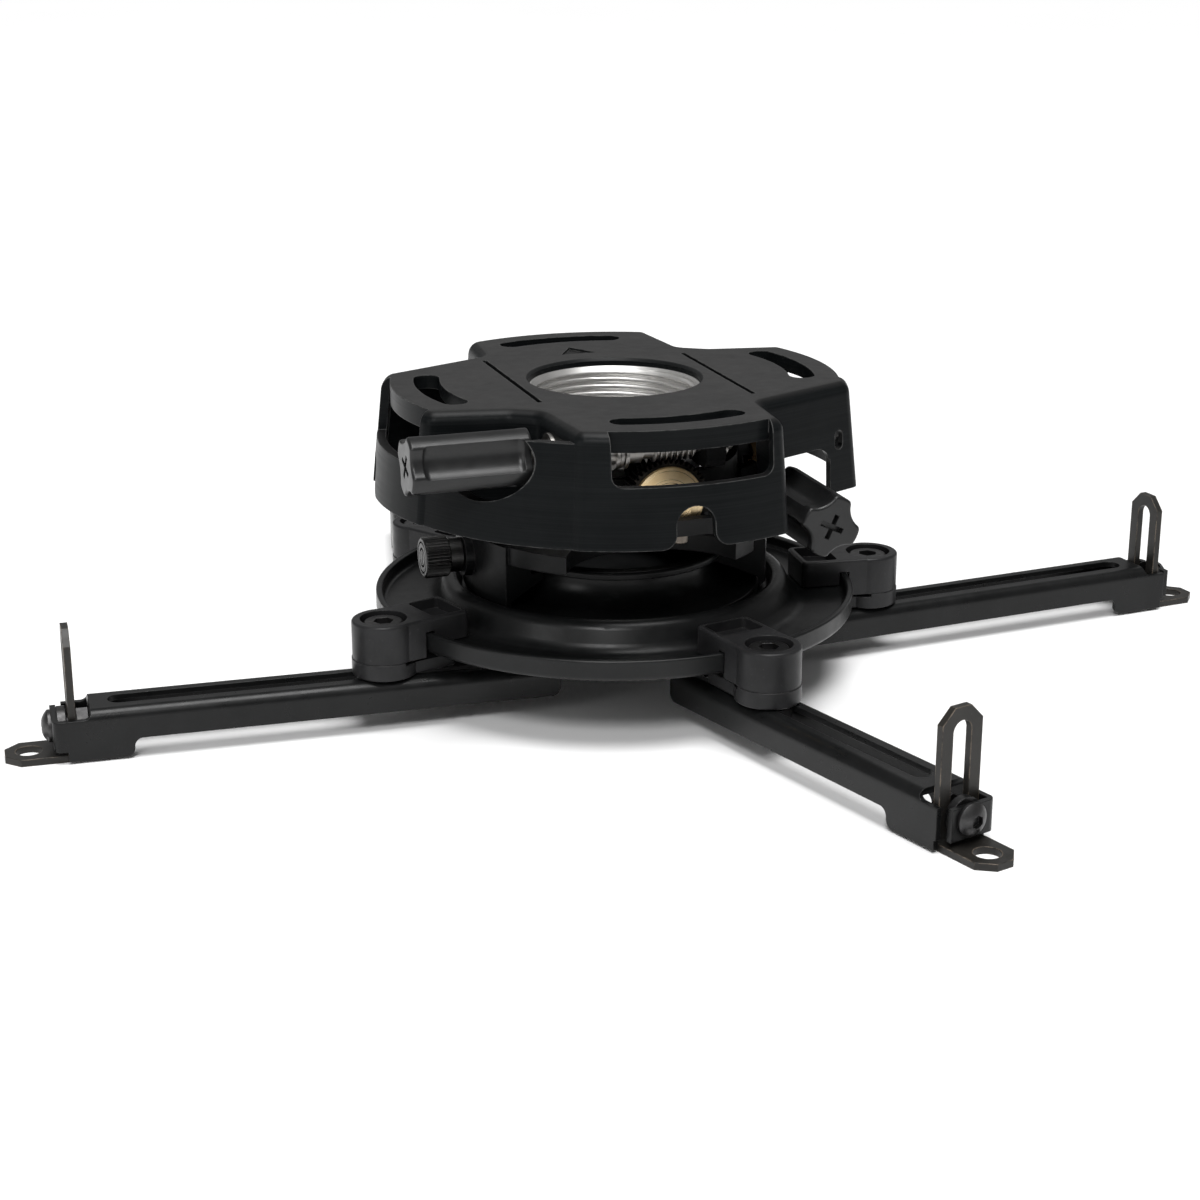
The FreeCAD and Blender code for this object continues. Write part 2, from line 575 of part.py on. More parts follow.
# ---- adapter disc: lipped pan, raised ring, gutter, flared hub ------------------------
top_path = rounded_path([(DISC_R, DISC_BOT, 0), (DISC_R, LIP_TOP, 0.6), (68.9, LIP_TOP, 0.6), (68.9, DISC_FLOOR, 1.2),
                         (54.2, DISC_FLOOR, 4.5), (50.4, -58.2, 3.4), (47.0, -58.2, 1.4), (45.7, -62.6, 0.8), (42.4, -62.6, 0.6),
                         (42.4, -60.7, 0.5), (29.0, -59.4, 7.2), (29.0, -51.9, 0.4), (32.4, -51.9, 0.3), (32.4, -49.6, 1.0),
                         (27.4, -49.6, 1.0), (26.2, -58.6, 2.5), (0, -58.6, 0)])
bot_path = rounded_path([(0, -60.6, 0), (27.0, -60.6, 1.0), (27.0, -64.6, 3.4), (46.6, -64.6, 3.4), (48.3, -60.4, 0.5),
                         (49.3, -60.4, 1.4), (52.8, DISC_BOT, 6.0), (DISC_R, DISC_BOT, 0)])
axis_edge = Part.LineSegment(V(0, 0, -58.6), V(0, 0, -60.6)).toShape()
disc = Part.Face(Part.Wire(top_path + [axis_edge] + bot_path)).revolve(O, Z, 360)
disc = Part.Solid(disc) if disc.ShapeType != "Solid" else disc
disc = fillet(disc, 1.6, lambda e: at_z(e, DISC_BOT) and abs(e.BoundBox.XLength - 2 * DISC_R) < 0.1)
save("adapter_disc", disc)


# ---- clamps, arms, legs ----------------------------------------------------------------
def place(s, theta):
    return turned(s, theta)


def make_block():
    s = fuse([box(BLOCK_R, BOSS_R, -8.5, 8.5, CLAMP_BOT, CLAMP_TOP), cyl(9.0, V(BOSS_R, 0, CLAMP_BOT), Z, CLAMP_TOP - CLAMP_BOT)])
    s = fillet(s, 1.8, lambda e: vertical(e) and e.BoundBox.XMax < BLOCK_R + 1)
    s = fillet(s, 0.8, lambda e: at_z(e, CLAMP_TOP))
    s = s.cut([cyl(71.4, V(0, 0, -80), Z, 80 - 65.9), ring(68.4, 71.4, -80, -61.9),
               cyl(6.65, V(BOSS_R, 0, -63.2), Z, 10), cyl(3.0 + RUN, V(BOSS_R, 0, -80), Z, 40)])
    pocket = box(BLOCK_R + 1.4, BLOCK_R + 11.2, -6.9, 6.9, CLAMP_TOP - 3.0, CLAMP_TOP + 2)
    pocket = fillet(pocket, 1.2, lambda e: vertical(e))
    s = s.cut(pocket)
    return max(s.Solids, key=lambda q: q.Volume)


def make_jaw():
    s = fuse([box(60.0, BOSS_R, -7.2, 7.2, JAW_BOT, CLAMP_BOT - 1.0), cyl(9.2, V(BOSS_R, 0, JAW_BOT), Z, CLAMP_BOT - 1.0 - JAW_BOT)])
    s = fillet(s, 1.6, lambda e: vertical(e) and e.BoundBox.XMax < 63)
    s = fillet(s, 0.6, lambda e: at_z(e, JAW_BOT))
    # raised seat under the boss, leaving a thin gap towards the disc
    s = fuse([s, cyl(9.2, V(BOSS_R, 0, CLAMP_BOT - 1.01), Z, 1.01).cut(box(40, BOSS_R - 1.5, -20, 20, -80, -60))])
    return s.cut(cyl(3.0 + RUN, V(BOSS_R, 0, -90), Z, 40))


def make_arm_screw():
    h = cyl(5.6, V(0, 0, -62.9), Z, 3.9)
    h = h.makeFillet(0.7, [e for e in h.Edges if at_z(e, -59.0)])
    h = h.cut(hexagon(5.0, -61.2, -50))
    return fuse([h, cyl(3.0, V(0, 0, -81.8), Z, 18.95)])


def make_nut():
    z1 = ARM_TOP - ARM_T - 0.3
    n = box(-4.8, 4.8, -4.8, 4.8, z1 - 4.2, z1)
    return n.cut(cyl(3.0 + 0.03, V(0, 0, -90), Z, 30))


def make_arm(L, inn):
    # folded channel along local +X from the boss; the leg stands at x = L inside its end
    s_end = L + END_S
    s_web = L - LEG_T - 3.9                           # end of the top web
    hw = ARM_W / 2
    zb = ARM_TOP - ARM_H
    body = box(-inn, s_end, -hw, hw, zb, ARM_TOP)
    tip = box(s_end - 21.4, s_end, -hw, hw, ARM_END_Z, ARM_TOP)
    s = fuse([body, tip])
    s = fillet(s, 3.2, lambda e: at_z(e, ARM_TOP) and abs(e.tangentAt(e.FirstParameter).x) > 0.99)
    # rounded vertical bend where the left-hand wall folds into the end flange
    s = fillet(s, 2.2, lambda e: vertical(e) and e.BoundBox.XMin > s_end - 0.01 and e.BoundBox.YMin > 0)
    # rounded corners of the deeper walls
    s = fillet(s, 2.4, lambda e: abs(abs(e.tangentAt(e.FirstParameter).y) - 1) < 1e-4 and e.BoundBox.XMax < s_end - 18
               and e.BoundBox.ZMax < zb + 0.01 and e.BoundBox.XMin > 0 and e.BoundBox.YLength > 5)
    s = fillet(s, 2.6, lambda e: abs(abs(e.tangentAt(e.FirstParameter).y) - 1) < 1e-4 and e.BoundBox.XMax < -inn + 0.01
               and e.BoundBox.ZMax < zb + 0.01)
    s = s.cut([box(-inn - 1, s_end - ARM_T, -hw + ARM_T, hw - ARM_T, -95, ARM_TOP - ARM_T)])
    sw = 3.3
    a, b = -inn + 9.5, s_web - 5.0 - sw
    slot = fuse([box(a, b, -sw, sw, -80, -70), cyl(sw, V(a, 0, -80), Z, 10), cyl(sw, V(b, 0, -80), Z, 10)])
    # stepped-down end with rounded transition, open above for the leg
    step = box(s_web, s_end + 1, -hw - 1, hw + 1, END_TOP, -70)
    step = fillet(step, 1.8, lambda e: at_z(e, END_TOP) and e.BoundBox.XMax < s_web + 0.01)
    # right-hand wall ends free of the end flange; foot tab passes under the flange
    free = box(L + 1.3, s_end + 1, -hw - 1, -hw + ARM_T + 0.6, -95, -70)
    under = box(L + 0.6, s_end + 1, -hw - 1, hw + 1, -95, END_BOT)
    hole = cyl(2.25, V(s_end - 6, 0, LEG_SCREW_Z), X, 12)
    s = s.cut([slot, step, free, under, hole])
    return max(s.Solids, key=lambda q: q.Volume)


def make_leg(L):
    hw = LEG_W / 2
    c = 4.0
    up = prism([(-hw, LEG_BOT), (hw, LEG_BOT), (hw, LEG_TOP - c), (hw - c, LEG_TOP), (-hw + c, LEG_TOP), (-hw, LEG_TOP - c)], "yz", L - LEG_T, L)
    ft = prism([(L - LEG_T, -hw), (L + FOOT_L - c, -hw), (L + FOOT_L, -hw + c), (L + FOOT_L, hw - c), (L + FOOT_L - c, hw), (L - LEG_T, hw)],
               "xy", LEG_BOT, LEG_BOT + LEG_T)
    s = fuse([up, ft])
    s = fillet(s, 2.2, lambda e: at_z(e, LEG_BOT) and abs(e.BoundBox.XMin - (L - LEG_T)) < 1e-3 and e.BoundBox.XLength < 1e-3)
    s = fillet(s, 0.8, lambda e: at_z(e, LEG_BOT + LEG_T) and abs(e.BoundBox.XMin - L) < 1e-3 and e.BoundBox.XLength < 1e-3)
    sw = 3.0
    z0, z1 = LEG_SCREW_Z - 0.1, LEG_TOP - 3.6 - sw
    s = s.cut([fuse([box(L - 5, L + 5, -sw, sw, z0, z1), cyl(sw, V(L - 5, 0, z0), X, 10), cyl(sw, V(L - 5, 0, z1), X, 10)]),
               cyl(FOOT_HOLE_R, V(L + FOOT_HOLE_S, 0, LEG_BOT - 2), Z, 6)])
    return s


def make_leg_washer(L):
    # round washer between the leg and the end flange
    w = cyl(5.2, V(L + 0.4, 0, LEG_SCREW_Z), X, END_S - ARM_T - 0.4)
    w = w.makeFillet(0.3, [e for e in w.Edges if e.BoundBox.XMax < L + 0.5])
    return w.cut(cyl(2.2, V(L - 2, 0, LEG_SCREW_Z), X, 8))


def make_leg_screw(L):
    # button head outside the end flange, nut behind the leg
    h = cyl(4.5, O, Z, 0.8).fuse(Part.makeSphere(6.2, V(0, 0, -3.4)).common(cyl(4.5, V(0, 0, 0.7), Z, 4)))
    h = h.removeSplitter()
    h = h.cut(hexagon(3.2, 1.1, 8))
    s = fuse([h, cyl(2.15, V(0, 0, -END_S - 6.8), Z, END_S + 6.81)])
    n = hexagon(7.6, -END_S - 5.5, -END_S - LEG_T - 0.35).cut(cyl(2.17, V(0, 0, -14), Z, 12))
    out = []
    for q in (s, n):
        q.rotate(O, Y, 90)
        q.translate(V(L + END_S, 0, LEG_SCREW_Z))
        out.append(q)
    return group(out)


for name, (theta, foot, inn) in ARMS.items():
    b = pol(BOSS_R, theta)
    d = V(foot[0] - b.x, foot[1] - b.y, 0)
    L = d.Length
    ang = math.degrees(math.atan2(d.y, d.x))

    def put(s):
        c = turned(s, ang)
        c.translate(b)
        return c

    save("clamp_block_" + name, place(make_block(), theta))
    save("clamp_jaw_" + name, place(make_jaw(), theta))
    save("arm_screw_" + name, put(make_arm_screw()))
    save("arm_nut_" + name, put(make_nut()))
    save("arm_" + name, put(make_arm(L, inn)))
    save("leg_" + name, put(make_leg(L)))
    save("leg_washer_" + name, put(make_leg_washer(L)))
    save("leg_screw_" + name, put(make_leg_screw(L)))
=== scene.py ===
import bpy, bmesh, math
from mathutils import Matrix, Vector


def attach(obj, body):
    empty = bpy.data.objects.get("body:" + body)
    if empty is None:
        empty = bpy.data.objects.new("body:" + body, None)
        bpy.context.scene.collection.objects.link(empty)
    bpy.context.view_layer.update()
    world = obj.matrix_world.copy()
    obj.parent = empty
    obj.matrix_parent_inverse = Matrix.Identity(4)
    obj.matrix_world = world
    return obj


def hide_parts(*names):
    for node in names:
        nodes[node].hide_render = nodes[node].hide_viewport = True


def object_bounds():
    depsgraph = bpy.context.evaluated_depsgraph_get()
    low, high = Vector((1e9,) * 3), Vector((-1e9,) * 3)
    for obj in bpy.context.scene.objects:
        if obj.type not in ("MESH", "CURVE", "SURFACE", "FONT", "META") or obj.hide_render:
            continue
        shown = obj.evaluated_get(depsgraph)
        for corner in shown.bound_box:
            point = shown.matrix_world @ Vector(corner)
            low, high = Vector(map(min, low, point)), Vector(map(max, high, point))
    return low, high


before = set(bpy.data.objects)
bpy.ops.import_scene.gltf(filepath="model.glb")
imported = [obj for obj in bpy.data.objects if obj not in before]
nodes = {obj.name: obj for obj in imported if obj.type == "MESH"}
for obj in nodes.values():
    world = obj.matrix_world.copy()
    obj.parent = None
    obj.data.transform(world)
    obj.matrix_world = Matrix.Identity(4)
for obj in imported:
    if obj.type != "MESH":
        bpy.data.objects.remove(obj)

cad_box = [list(v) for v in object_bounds()]
scene = bpy.context.scene
col = scene.collection
MM = 0.001


# ---- node helpers -------------------------------------------------------------------
class Mat:
    def __init__(self, name):
        self.m = bpy.data.materials.new(name)
        self.m.use_nodes = True
        self.t = self.m.node_tree
        self.b = self.t.nodes["Principled BSDF"]
        self.tc = self.t.nodes.new("ShaderNodeTexCoord")

    def n(self, kind, **kw):
        q = self.t.nodes.new(kind)
        for k, v in kw.items():
            setattr(q, k, v)
        return q

    def link(self, a, b):
        self.t.links.new(a, b)

    def coords(self, scale=(1, 1, 1), rot=(0, 0, 0)):
        q = self.n("ShaderNodeMapping")
        q.inputs["Scale"].default_value = scale
        q.inputs["Rotation"].default_value = rot
        self.link(self.tc.outputs["Object"], q.inputs["Vector"])
        return q.outputs["Vector"]

    def noise(self, scale, detail=3.0, rough=0.55, stretch=(1, 1, 1), rot=(0, 0, 0)):
        q = self.n("ShaderNodeTexNoise")
        q.inputs["Scale"].default_value = scale
        q.inputs["Detail"].default_value = detail
        q.inputs["Roughness"].default_value = rough
        self.link(self.coords(stretch, rot), q.inputs["Vector"])
        return q.outputs["Fac"]

    def remap(self, v, a, b, c, d, smooth=False):
        q = self.n("ShaderNodeMapRange")
        q.interpolation_type = "SMOOTHSTEP" if smooth else "LINEAR"
        self.link(v, q.inputs["Value"])
        q.inputs["From Min"].default_value = a
        q.inputs["From Max"].default_value = b
        q.inputs["To Min"].default_value = c
        q.inputs["To Max"].default_value = d
        return q.outputs["Result"]

    def math(self, op, a, b=None):
        q = self.n("ShaderNodeMath", operation=op)
        for i, v in enumerate((a, b)):
            if v is None:
                continue
            if isinstance(v, (int, float)):
                q.inputs[i].default_value = v
            else:
                self.link(v, q.inputs[i])
        return q.outputs[0]

    def mix(self, fac, a, b):
        q = self.n("ShaderNodeMix", data_type="RGBA")
        self.link(fac, q.inputs["Factor"])
        for k, v in (("A", a), ("B", b)):
            s = [i for i in q.inputs if i.name == k and i.type == "RGBA"][0]
            if isinstance(v, tuple):
                s.default_value = (*v, 1.0)
            else:
                self.link(v, s)
        return [o for o in q.outputs if o.type == "RGBA"][0]

    def mixf(self, fac, a, b):
        q = self.n("ShaderNodeMix", data_type="FLOAT")
        self.link(fac, q.inputs["Factor"])
        for k, v in (("A", a), ("B", b)):
            s = [i for i in q.inputs if i.name == k and i.type == "VALUE"][0]
            if isinstance(v, (int, float)):
                s.default_value = v
            else:
                self.link(v, s)
        return [o for o in q.outputs if o.type == "VALUE"][0]

    def edge(self, radius, lo=0.06, hi=0.30):
        # 1 on worn edges, 0 on flats
        bv = self.n("ShaderNodeBevel", samples=6)
        bv.inputs["Radius"].default_value = radius
        g = self.n("ShaderNodeNewGeometry")
        d = self.n("ShaderNodeVectorMath", operation="DOT_PRODUCT")
        self.link(bv.outputs["Normal"], d.inputs[0])
        self.link(g.outputs["Normal"], d.inputs[1])
        return self.remap(self.math("SUBTRACT", 1.0, d.outputs["Value"]), lo, hi, 0.0, 1.0, True)

    def bump(self, layers, bevel=0.0):
        # layers: (height socket, strength, distance); a small rounding of edges underneath
        prev = None
        if bevel > 0:
            bv = self.n("ShaderNodeBevel", samples=6)
            bv.inputs["Radius"].default_value = bevel
            prev = bv.outputs["Normal"]
        for h, s, dist in layers:
            q = self.n("ShaderNodeBump")
            q.inputs["Strength"].default_value = s
            q.inputs["Distance"].default_value = dist
            self.link(h, q.inputs["Height"])
            if prev is not None:
                self.link(prev, q.inputs["Normal"])
            prev = q.outputs["Normal"]
        if prev is not None:
            self.link(prev, self.b.inputs["Normal"])


def set_(m, **kw):
    for k, v in kw.items():
        m.b.inputs[k.replace("_", " ")].default_value = v


# ---- materials ----------------------------------------------------------------------
def black_coat(name, dark, light, r0, r1, grain, grain_s, spec, wear=0.0, wear_col=(0.10, 0.10, 0.10), streak=None,
               streak_s=0.0, mottle=70.0, bevel=0.00035, dust=0.0):
    m = Mat(name)
    set_(m, Specular_IOR_Level=spec, Metallic=0.0)
    big = m.noise(mottle, 4.0, 0.6)
    fine = m.noise(grain, 2.0, 0.5)
    c = m.mix(m.remap(big, 0.3, 0.7, 0.0, 1.0, True), dark, light)
    spk = m.remap(m.noise(grain * 0.55, 2.0, 0.7), 0.62, 0.78, 0.0, 0.5, True)
    c = m.mix(spk, c, tuple(min(1.0, v * 1.7 + 0.004) for v in light))
    r = m.remap(m.noise(mottle * 3.3, 3.0, 0.6), 0.3, 0.7, r0, r1)
    layers = [(fine, grain_s, 0.00003)]
    if streak is not None:
        st = m.noise(1.0, 3.0, 0.6, stretch=streak)
        layers.append((st, streak_s, 0.00002))
        c = m.mix(m.remap(st, 0.45, 0.75, 0.0, 0.35), c, tuple(v * 1.6 for v in light))
    if wear > 0:
        e = m.math("MULTIPLY", m.edge(0.0007), m.remap(m.noise(260.0, 4.0, 0.7), 0.38, 0.62, 0.0, wear, True))
        c = m.mix(e, c, wear_col)
        r = m.mixf(e, r, 0.34)
    m.link(c, m.b.inputs["Base Color"])
    m.link(r, m.b.inputs["Roughness"])
    m.bump(layers, bevel)
    return m.m


def metal(name, a, b, r0, r1, lines, lines_s, mottle=120.0, bevel=0.0002, grime=0.0, grime_col=(0.05, 0.045, 0.04)):
    m = Mat(name)
    set_(m, Metallic=1.0)
    ln = m.noise(1.0, 3.0, 0.65, stretch=lines)
    big = m.noise(mottle, 4.0, 0.6)
    c = m.mix(m.remap(big, 0.3, 0.7, 0.0, 1.0, True), a, b)
    c = m.mix(m.remap(ln, 0.35, 0.7, 0.0, 0.4), c, tuple(v * 0.72 for v in a))
    r = m.remap(ln, 0.3, 0.7, r0, r1)
    if grime > 0:
        g = m.remap(m.noise(180.0, 5.0, 0.7), 0.55, 0.72, 0.0, grime, True)
        c = m.mix(g, c, grime_col)
        r = m.mixf(g, r, 0.6)
    m.link(c, m.b.inputs["Base Color"])
    m.link(r, m.b.inputs["Roughness"])
    m.bump([(ln, lines_s, 0.00002)], bevel)
    return m.m


def wheel_faces():
    # brass face with turned rings; the teeth outside it are coloured near black
    m = Mat("wheel_brass")
    set_(m, Metallic=1.0)
    sep = m.n("ShaderNodeSeparateXYZ")
    m.link(m.tc.outputs["Object"], sep.inputs[0])
    x2 = m.math("POWER", sep.outputs["X"], 2.0)
    z2 = m.math("POWER", m.math("ADD", sep.outputs["Z"], 0.026), 2.0)
    r = m.math("SQRT", m.math("ADD", x2, z2))
    teeth = m.remap(r, 0.01025, 0.01055, 0.0, 1.0, True)
    rings = m.n("ShaderNodeTexNoise", noise_dimensions="1D")
    rings.inputs["Scale"].default_value = 2400.0
    rings.inputs["Detail"].default_value = 3.0
    m.link(r, rings.inputs["W"])
    big = m.noise(190.0, 4.0, 0.6)
    c = m.mix(m.remap(big, 0.3, 0.7, 0.0, 1.0, True), (0.80, 0.59, 0.32), (0.92, 0.73, 0.45))
    c = m.mix(m.remap(rings.outputs["Fac"], 0.35, 0.7, 0.0, 0.14), c, (0.55, 0.38, 0.19))
    dark = m.mix(m.remap(m.noise(420.0, 4.0, 0.7), 0.35, 0.65, 0.0, 1.0, True), (0.008, 0.0075, 0.007), (0.030, 0.027, 0.023))
    m.link(m.mix(teeth, c, dark), m.b.inputs["Base Color"])
    m.link(m.mixf(teeth, m.remap(rings.outputs["Fac"], 0.3, 0.7, 0.26, 0.40), 0.42), m.b.inputs["Roughness"])
    m.bump([(rings.outputs["Fac"], 0.07, 0.00002)], 0.0002)
    return m.m


def bracket_coat():
    # one coat on plate and walls: the base colour is painted lighter on up-facing faces and darker on the walls as
    # painted light and shade from above; the plate is a rougher matte finish, the walls satin with faint drawn lines
    # round the skirt
    m = Mat("bracket_coat")
    set_(m, Metallic=0.0)
    sep = m.n("ShaderNodeSeparateXYZ")
    m.link(m.tc.outputs["Normal"], sep.inputs[0])
    # facing mask: gives up-facing faces the lighter painted-light colour (and the rougher plate finish), side walls the
    # darker painted-shade colour
    up_facing_lit_mask = m.remap(sep.outputs["Z"], 0.55, 0.95, 0.0, 1.0, True)
    big = m.noise(45.0, 4.0, 0.6)
    fine = m.noise(2600.0, 2.0, 0.5)
    drawn = m.noise(1.0, 3.0, 0.6, stretch=(18, 18, 2600))
    # plate colour lightened as painted light from above
    plate_lit_col = m.mix(m.remap(big, 0.3, 0.7, 0.0, 1.0, True), (0.0165, 0.0165, 0.0165), (0.022, 0.0217, 0.0214))
    plate_lit_col = m.mix(m.remap(m.noise(1500.0, 2.0, 0.7), 0.6, 0.78, 0.0, 0.6, True), plate_lit_col, (0.042, 0.041, 0.040))
    # wall colour darkened as painted shade, with faint drawn lines
    wall_shaded_col = m.mix(m.remap(big, 0.3, 0.7, 0.0, 1.0, True), (0.0034, 0.0041, 0.0045), (0.0054, 0.0063, 0.0067))
    wall_shaded_col = m.mix(m.remap(drawn, 0.42, 0.75, 0.0, 0.55), wall_shaded_col, (0.0125, 0.0135, 0.0140))
    pos = m.n("ShaderNodeSeparateXYZ")
    m.link(m.tc.outputs["Object"], pos.inputs[0])
    sunk = m.remap(pos.outputs["Z"], -0.00040, -0.00015, 1.0, 0.0, True)
    # painted light on top faces, painted shade on walls, mixed by facing
    c = m.mix(up_facing_lit_mask, wall_shaded_col, m.mix(sunk, plate_lit_col, (0.0045, 0.0045, 0.0046)))
    e = m.math("MULTIPLY", m.edge(0.0007), m.remap(m.noise(230.0, 4.0, 0.7), 0.34, 0.60, 0.10, 0.75, True))
    c = m.mix(e, c, (0.15, 0.15, 0.147))
    rw = m.remap(drawn, 0.3, 0.7, 0.30, 0.40)
    rp = m.remap(m.noise(170.0, 3.0, 0.6), 0.3, 0.7, 0.44, 0.54)
    m.link(c, m.b.inputs["Base Color"])
    m.link(m.mixf(up_facing_lit_mask, rw, rp), m.b.inputs["Roughness"])
    m.link(m.mixf(up_facing_lit_mask, 0.06, 0.24), m.b.inputs["Specular IOR Level"])
    m.bump([(fine, 0.22, 0.00003), (drawn, 0.16, 0.00002)], 0.0004)
    return m.m


M = {
    "bracket": bracket_coat(),
    "wheel": wheel_faces(),
    "cast": black_coat("cast_black", (0.0048, 0.0051, 0.0054), (0.0085, 0.0087, 0.009), 0.30, 0.42, 1900.0, 0.30, 0.16,
                       wear=0.35, wear_col=(0.07, 0.07, 0.07)),
    "clamp": black_coat("clamp_black", (0.0115, 0.0115, 0.0122), (0.020, 0.020, 0.0208), 0.30, 0.42, 1700.0, 0.45, 0.20,
                        wear=0.45, wear_col=(0.09, 0.088, 0.085)),
    "inner": black_coat("inner_black", (0.0040, 0.0041, 0.0043), (0.0070, 0.0071, 0.0073), 0.50, 0.62, 1900.0, 0.30, 0.08),
    "disc": black_coat("disc_black", (0.0042, 0.0045, 0.0047), (0.0072, 0.0075, 0.0077), 0.28, 0.38, 2200.0, 0.22, 0.26,
                       wear=0.25, wear_col=(0.06, 0.06, 0.06)),
    "arm": black_coat("arm_black", (0.0040, 0.0042, 0.0043), (0.0070, 0.0072, 0.0074), 0.26, 0.36, 2200.0, 0.22, 0.25,
                      wear=0.35, wear_col=(0.075, 0.075, 0.075)),
    "leg": black_coat("leg_gunmetal", (0.012, 0.0114, 0.0102), (0.021, 0.0192, 0.0168), 0.30, 0.44, 1500.0, 0.5, 0.28,
                      wear=0.95, wear_col=(0.27, 0.215, 0.165)),
    "knob": black_coat("knob_plastic", (0.0060, 0.0062, 0.0064), (0.0098, 0.010, 0.0102), 0.30, 0.38, 2400.0, 0.45, 0.40,
                       wear=0.12, wear_col=(0.05, 0.05, 0.05)),
    "oxide": metal("black_oxide", (0.060, 0.060, 0.062), (0.095, 0.093, 0.092), 0.34, 0.48, (900, 900, 900), 0.12),
    "thumb": metal("thumb_oxide", (0.050, 0.050, 0.050), (0.085, 0.084, 0.082), 0.36, 0.50, (900, 900, 900), 0.15),
    "thread": metal("bare_thread", (0.70, 0.69, 0.675), (0.82, 0.81, 0.79), 0.36, 0.48, (60, 60, 2600), 0.14, grime=0.16,
                    grime_col=(0.24, 0.225, 0.20)),
    "worm": metal("turned_steel", (0.42, 0.405, 0.385), (0.56, 0.54, 0.515), 0.26, 0.40, (2600, 120, 120), 0.16, grime=0.18),
    "worm_y": metal("turned_steel_y", (0.42, 0.405, 0.385), (0.56, 0.54, 0.515), 0.24, 0.40, (120, 2600, 120), 0.2, grime=0.5),
    "pin": metal("pin_steel", (0.40, 0.39, 0.38), (0.52, 0.51, 0.49), 0.28, 0.42, (900, 900, 900), 0.15, grime=0.4),
    "sector": metal("sector_brass", (0.13, 0.085, 0.042), (0.21, 0.145, 0.075), 0.36, 0.50, (300, 60, 1500), 0.12, grime=0.25),
    "screw": metal("screw_steel", (0.15, 0.13, 0.11), (0.24, 0.21, 0.18), 0.36, 0.50, (900, 900, 900), 0.15, grime=0.4),
}


def paint(node, key):
    o = nodes[node]
    if not o.material_slots:
        o.data.materials.append(M[key])
    for s in o.material_slots:
        s.material = M[key]


use = {
    "bracket": ["upper_bracket"],
    "inner": ["roll_hangers", "roll_worm_bearing", "gimbal_ring"],
    "cast": ["wheel_keeper", "cradle"],
    "disc": ["adapter_disc"],
    "knob": ["roll_knob", "pitch_knob"],
    "worm": ["roll_worm", "roll_thrust_washers", "roll_worm_bush", "roll_worm_clip"],
    "worm_y": ["pitch_worm", "pitch_thrust_washers", "pitch_worm_clip"],
    "pin": ["roll_pins", "pitch_pins"],
    "screw": ["keeper_screws"],
    "wheel": ["roll_worm_wheel"],
    "sector": ["pitch_worm_wheel"],
    "thread": ["pipe_coupler"],
    "thumb": ["thumb_screw"],
}
for k in ("left", "front", "right", "rear"):
    use.setdefault("clamp", []).extend(["clamp_block_" + k, "clamp_jaw_" + k])
    use.setdefault("oxide", ["sector_screws"]).extend(["arm_screw_" + k, "arm_nut_" + k, "leg_screw_" + k, "leg_washer_" + k])
    use.setdefault("arm", []).append("arm_" + k)
    use.setdefault("leg", []).append("leg_" + k)
for key, names in use.items():
    for q in names:
        paint(q, key)


# ---- threaded pipe socket -------------------------------------------------------------
def pipe_socket():
    # ring with a helical 11.5-per-inch thread, mean radius 23.2 mm
    pitch = 25.4 / 11.5
    z0, z1 = -24.0, -2.2
    n_a = 192
    per = 10
    rows = int((z1 - z0) / pitch * per) + 1
    bm = bmesh.new()

    def prof(t):
        t = t % 1.0
        # 60-degree form with small flats at crest and root
        if t < 0.06:
            return -1.0
        if t < 0.5:
            return -1.0 + 2.0 * (t - 0.06) / 0.44
        if t < 0.56:
            return 1.0
        return 1.0 - 2.0 * (t - 0.56) / 0.44

    grid = []
    for j in range(rows + 1):
        z = z0 + (z1 - z0) * j / rows
        ring = []
        for i in range(n_a):
            a = 2 * math.pi * i / n_a
            r = 23.2 + 0.62 * prof(z / pitch - i / n_a)
            lead = max(0.0, (z - (z1 - 1.6)) / 1.6)
            r = max(r, 23.0 + 1.35 * lead)
            ring.append(bm.verts.new((r * MM * math.cos(a), r * MM * math.sin(a), z * MM)))
        grid.append(ring)
    outer = []
    for r, z in ((24.85, -2.2), (24.95, -2.3), (24.95, -4.0), (27.5, -4.0), (27.5, -23.4), (26.9, -24.0)):
        outer.append([bm.verts.new((r * MM * math.cos(2 * math.pi * i / n_a), r * MM * math.sin(2 * math.pi * i / n_a), z * MM)) for i in range(n_a)])
    loops = grid + outer
    for j in range(len(loops)):
        a, b = loops[j], loops[(j + 1) % len(loops)]
        for i in range(n_a):
            k = (i + 1) % n_a
            bm.faces.new((a[i], b[i], b[k], a[k]))
    bmesh.ops.recalc_face_normals(bm, faces=bm.faces[:])
    me = bpy.data.meshes.new("pipe_thread_ring")
    bm.to_mesh(me)
    bm.free()
    me.polygons.foreach_set("use_smooth", [True] * len(me.polygons))
    me.set_sharp_from_angle(angle=math.radians(38))
    o = bpy.data.objects.new("pipe_thread_ring", me)
    col.objects.link(o)
    me.materials.append(M["thread"])
    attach(o, "root")
    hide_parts("pipe_coupler")


pipe_socket()

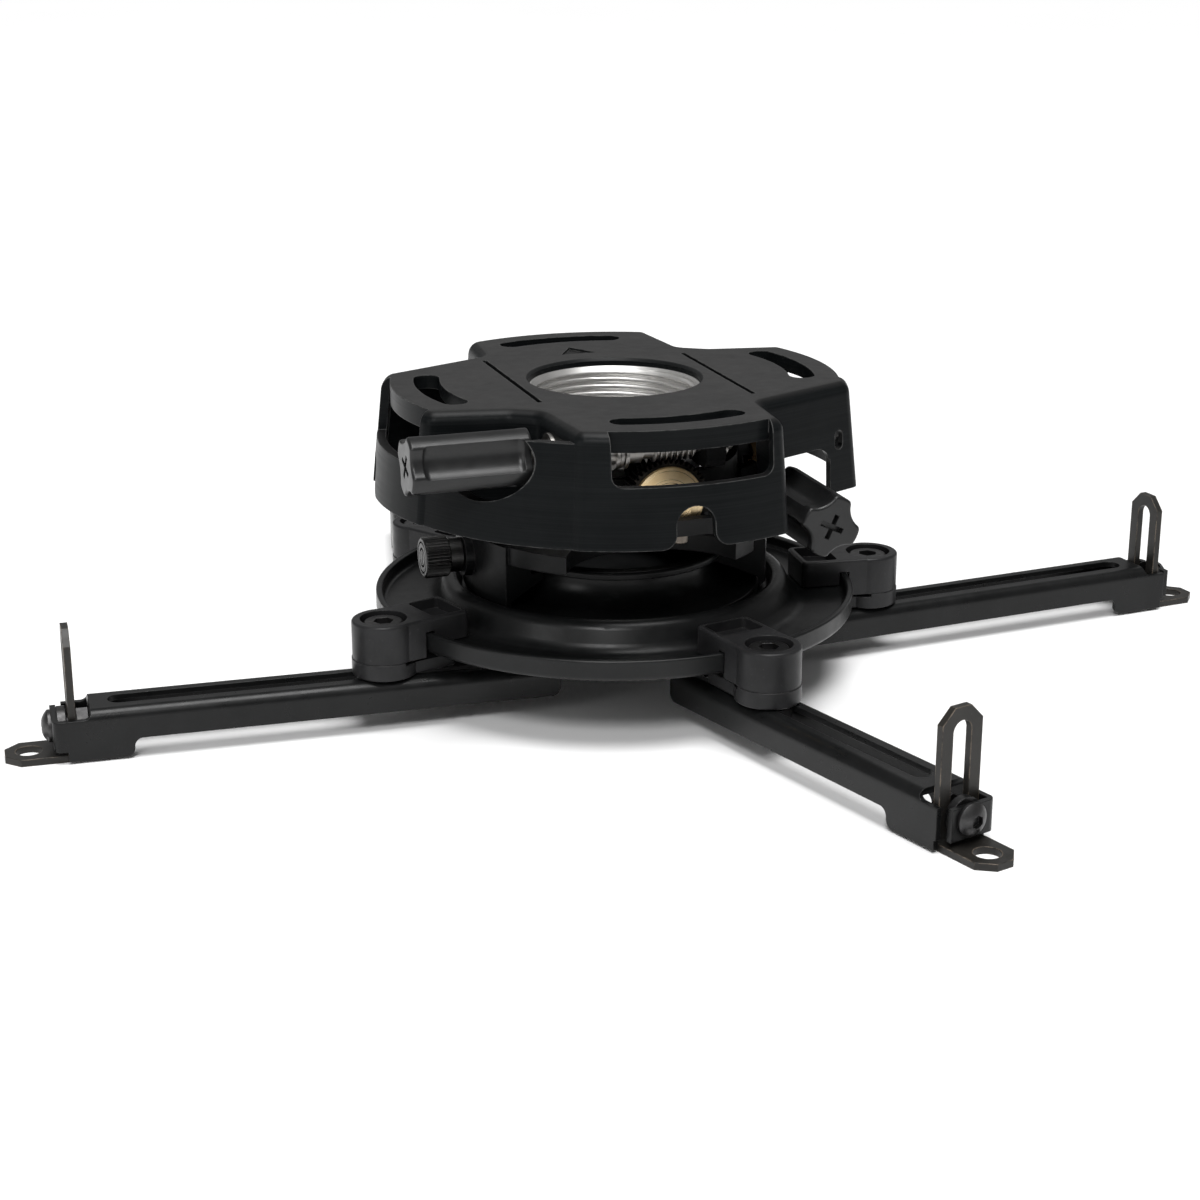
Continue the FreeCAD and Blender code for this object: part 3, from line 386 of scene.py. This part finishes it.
# ---- floor, light, camera ---------------------------------------------------------------
floor_z = cad_box[0][2]
me = bpy.data.meshes.new("floor")
s = 30.0
me.from_pydata([(-s, -s, floor_z), (s, -s, floor_z), (s, s, floor_z), (-s, s, floor_z)], [], [(0, 1, 2, 3)])
floor = bpy.data.objects.new("floor", me)
col.objects.link(floor)
fm = Mat("floor_pale")
set_(fm, Roughness=0.9, Specular_IOR_Level=0.05)
fm.link(fm.mix(fm.remap(fm.noise(3.0, 2.0, 0.5), 0.3, 0.7, 0.0, 1.0), (0.955, 0.955, 0.955), (0.965, 0.965, 0.965)), fm.b.inputs["Base Color"])
me.materials.append(fm.m)

w = bpy.data.worlds.new("studio")
scene.world = w
w.use_nodes = True
bg = w.node_tree.nodes["Background"]
bg.inputs["Color"].default_value = (1.0, 1.0, 1.0, 1.0)
bg.inputs["Strength"].default_value = 0.22


def area(name, loc, target, sx, sy, power):
    d = bpy.data.lights.new(name, "AREA")
    d.shape = "RECTANGLE"
    d.size, d.size_y = sx, sy
    d.energy = power
    o = bpy.data.objects.new(name, d)
    o.location = loc
    o.rotation_euler = (Vector(target) - Vector(loc)).to_track_quat("-Z", "Y").to_euler()
    col.objects.link(o)
    return o


area("back_strip", (0.25, 1.15, 0.75), (0.0, 0.0, -0.06), 1.8, 0.4, 1.2)
area("front_soft", (-0.45, -0.95, 0.95), (0.0, 0.0, -0.04), 0.44, 0.32, 7.5)
area("left_soft", (-1.15, -0.55, 0.45), (-0.05, -0.02, -0.05), 0.40, 0.60, 2.2)

sun_d = bpy.data.lights.new("wide_soft", "SUN")
sun_d.energy = 2.65
sun_d.angle = math.radians(34.0)
sun = bpy.data.objects.new("wide_soft", sun_d)
sun.rotation_euler = Vector((-0.04, 0.16, -0.98)).to_track_quat("-Z", "Y").to_euler()
col.objects.link(sun)

cam_d = bpy.data.cameras.new("cam")
cam_d.sensor_width = 36.0
cam_d.lens = 36.0 * 2270.36 / 1200.0
cam_d.clip_start = 0.01
cam_d.clip_end = 100.0
cam = bpy.data.objects.new("cam", cam_d)
cam.location = (-0.21043, -0.61024, 0.14577)
cam.rotation_euler = (math.radians(90.0 - 18.35), 0.0, math.radians(-18.65))
col.objects.link(cam)
scene.camera = cam
scene.view_settings.view_transform = "Standard"
scene.view_settings.look = "None"
